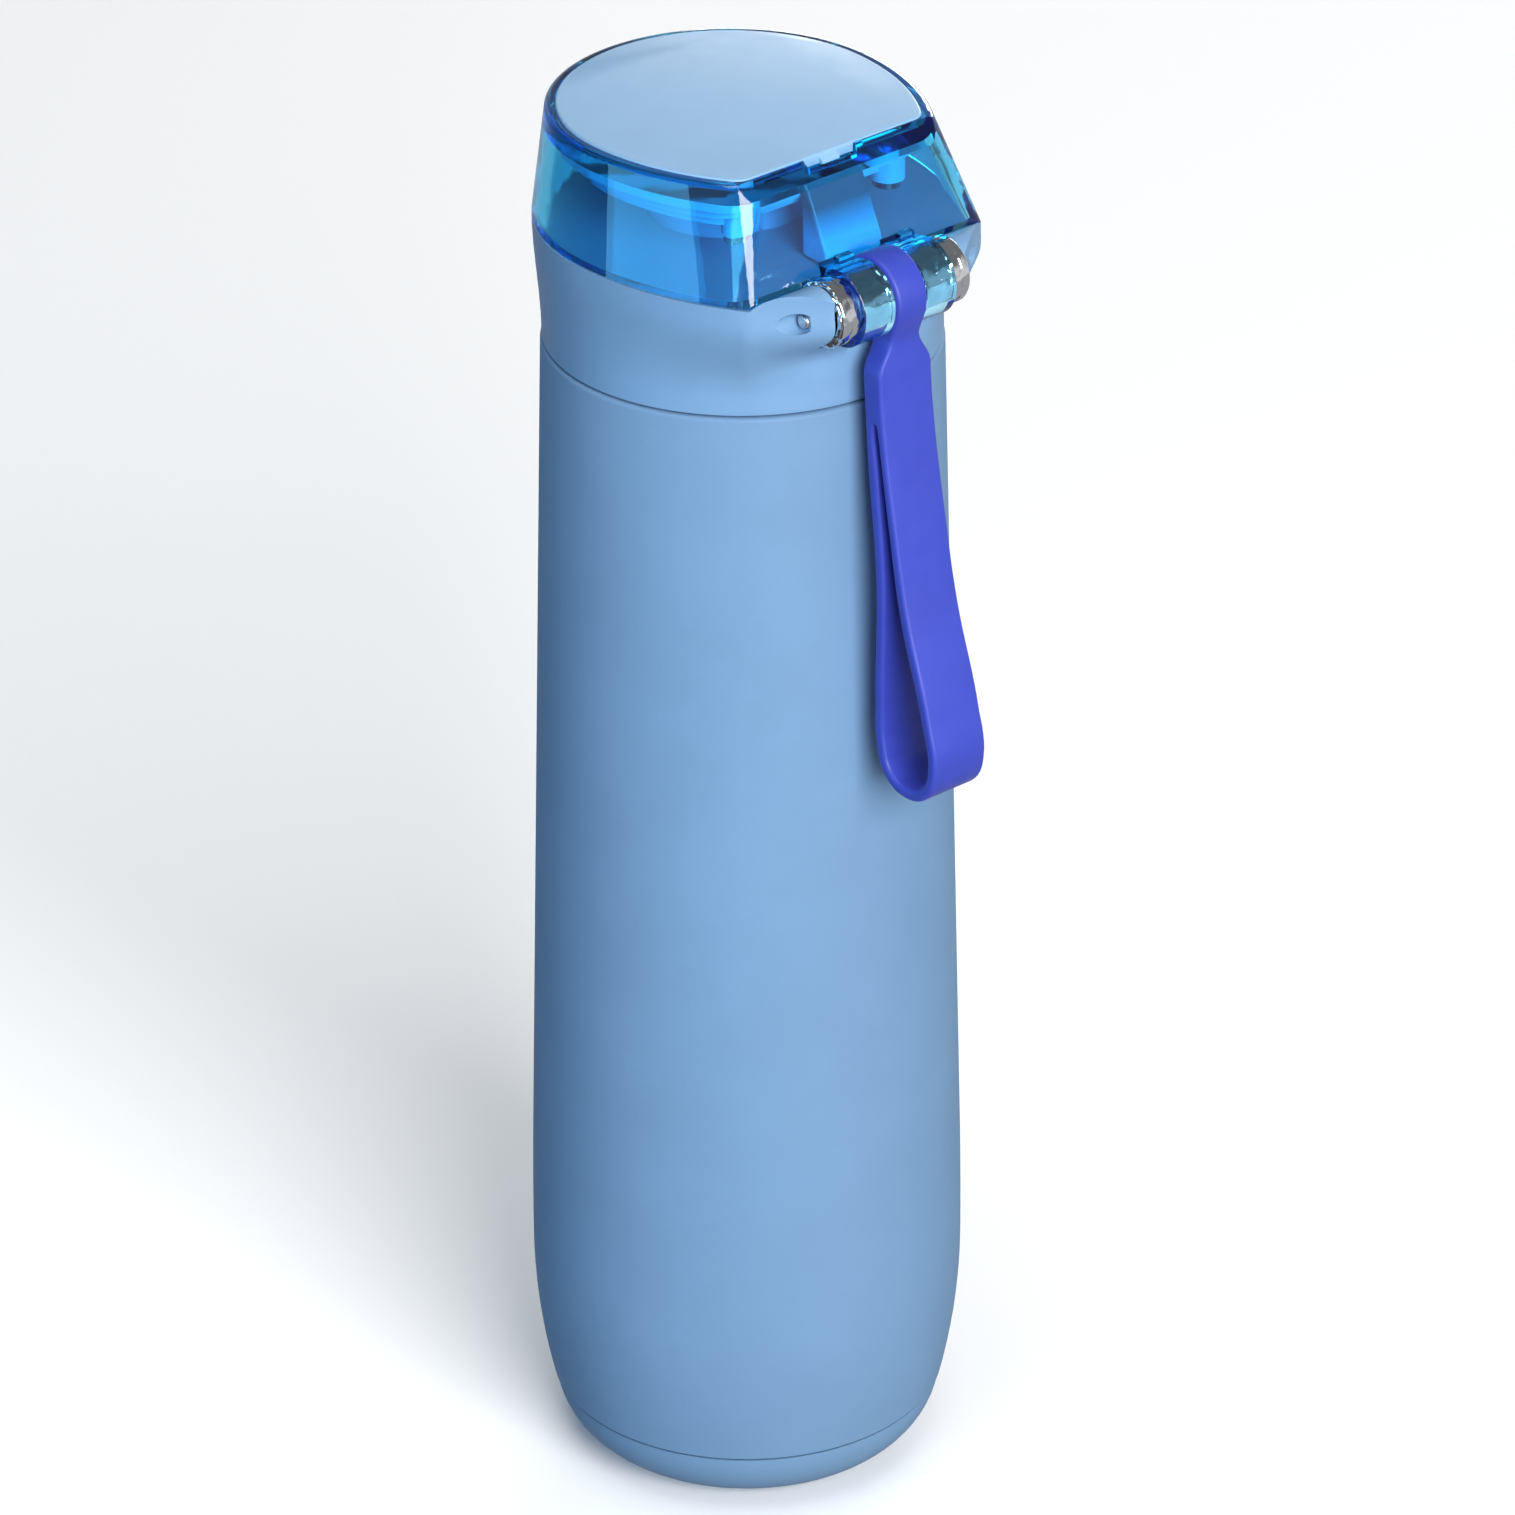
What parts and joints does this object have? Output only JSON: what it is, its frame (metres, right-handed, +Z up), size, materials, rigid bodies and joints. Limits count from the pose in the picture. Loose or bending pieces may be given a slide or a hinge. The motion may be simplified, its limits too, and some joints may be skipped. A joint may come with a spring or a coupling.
{
  "type": "insulated drinking bottle",
  "caption": "Slim insulated steel bottle with a see-through flip lid on a chromed rear hinge, a front push release and a silicone carry loop.",
  "frame": {"origin": "on the bottle's axis, in the plane that its foot ring stands on", "axes": "+Z up along the bottle's axis; -Y to the front, where the release button is; +Y to the hinge and the carry loop; +X to the bottle's left"},
  "size_m": [0.0736, 0.0903, 0.2489],
  "materials": {
    "powder_coat": "fine matte powder coat",
    "bare_steel": "drawn stainless steel",
    "seal_bead": "dull solidified bead",
    "collar_plastic": "satin moulded",
    "sleeve_plastic": "satin moulded",
    "seal_silicone": "soft translucent silicone",
    "spout_plastic": "polished",
    "chrome": "polished plating",
    "spring_steel": "bright wire",
    "clear_blue": "clear tinted copolyester",
    "disc_plastic": "satin moulded",
    "carrier_plastic": "translucent moulded",
    "frosted_blue": "frosted translucent",
    "strap_silicone": "matte silicone"
  },
  "bodies": {
    "flask": {"outer_shell": "powder_coat", "inner_liner": "bare_steel", "outer_bottom": "bare_steel", "vacuum_seal": "seal_bead", "base_cap": "powder_coat"},
    "collar": {"collar": "collar_plastic", "thread_sleeve": "sleeve_plastic", "neck_gasket": "seal_silicone", "drink_spout": "spout_plastic", "hinge_pin": "bare_steel", "hinge_sleeve": "chrome", "hinge_bush_left": "chrome", "hinge_bush_right": "chrome", "torsion_spring": "spring_steel", "button_spring": "spring_steel"},
    "lid": {"lid_shell": "clear_blue", "lid_disc": "disc_plastic", "seal_carrier": "carrier_plastic", "carrier_screw_left": "spring_steel", "carrier_screw_right": "spring_steel", "spout_stopper": "seal_silicone", "vent_plug": "frosted_blue", "latch_hook": "clear_blue"},
    "button": {"release_button": "collar_plastic"},
    "strap": {"carry_strap": "strap_silicone"}
  },
  "joints": [
    {"name": "collar_lift_off", "type": "slide", "parent": "flask", "child": "collar", "axis": [0, 0, 1], "range_m": [0, 0.03]},
    {"name": "lid_hinge", "type": "hinge", "parent": "collar", "child": "lid", "pos_m": [0, 0.0346, 0.2282], "axis": [-1, 0, 0], "range_deg": [0, 135]},
    {"name": "button_push", "type": "slide", "parent": "collar", "child": "button", "axis": [0, 1, 0], "range_m": [0, 0.0012], "stiffness_N_per_m": 800, "springref_m": -0.001, "deforming": ["button_spring"]},
    {"name": "strap_swing", "type": "hinge", "parent": "collar", "child": "strap", "pos_m": [0, 0.0346, 0.2282], "axis": [1, 0, 0], "range_deg": [-2.5, 30]}
  ]
}
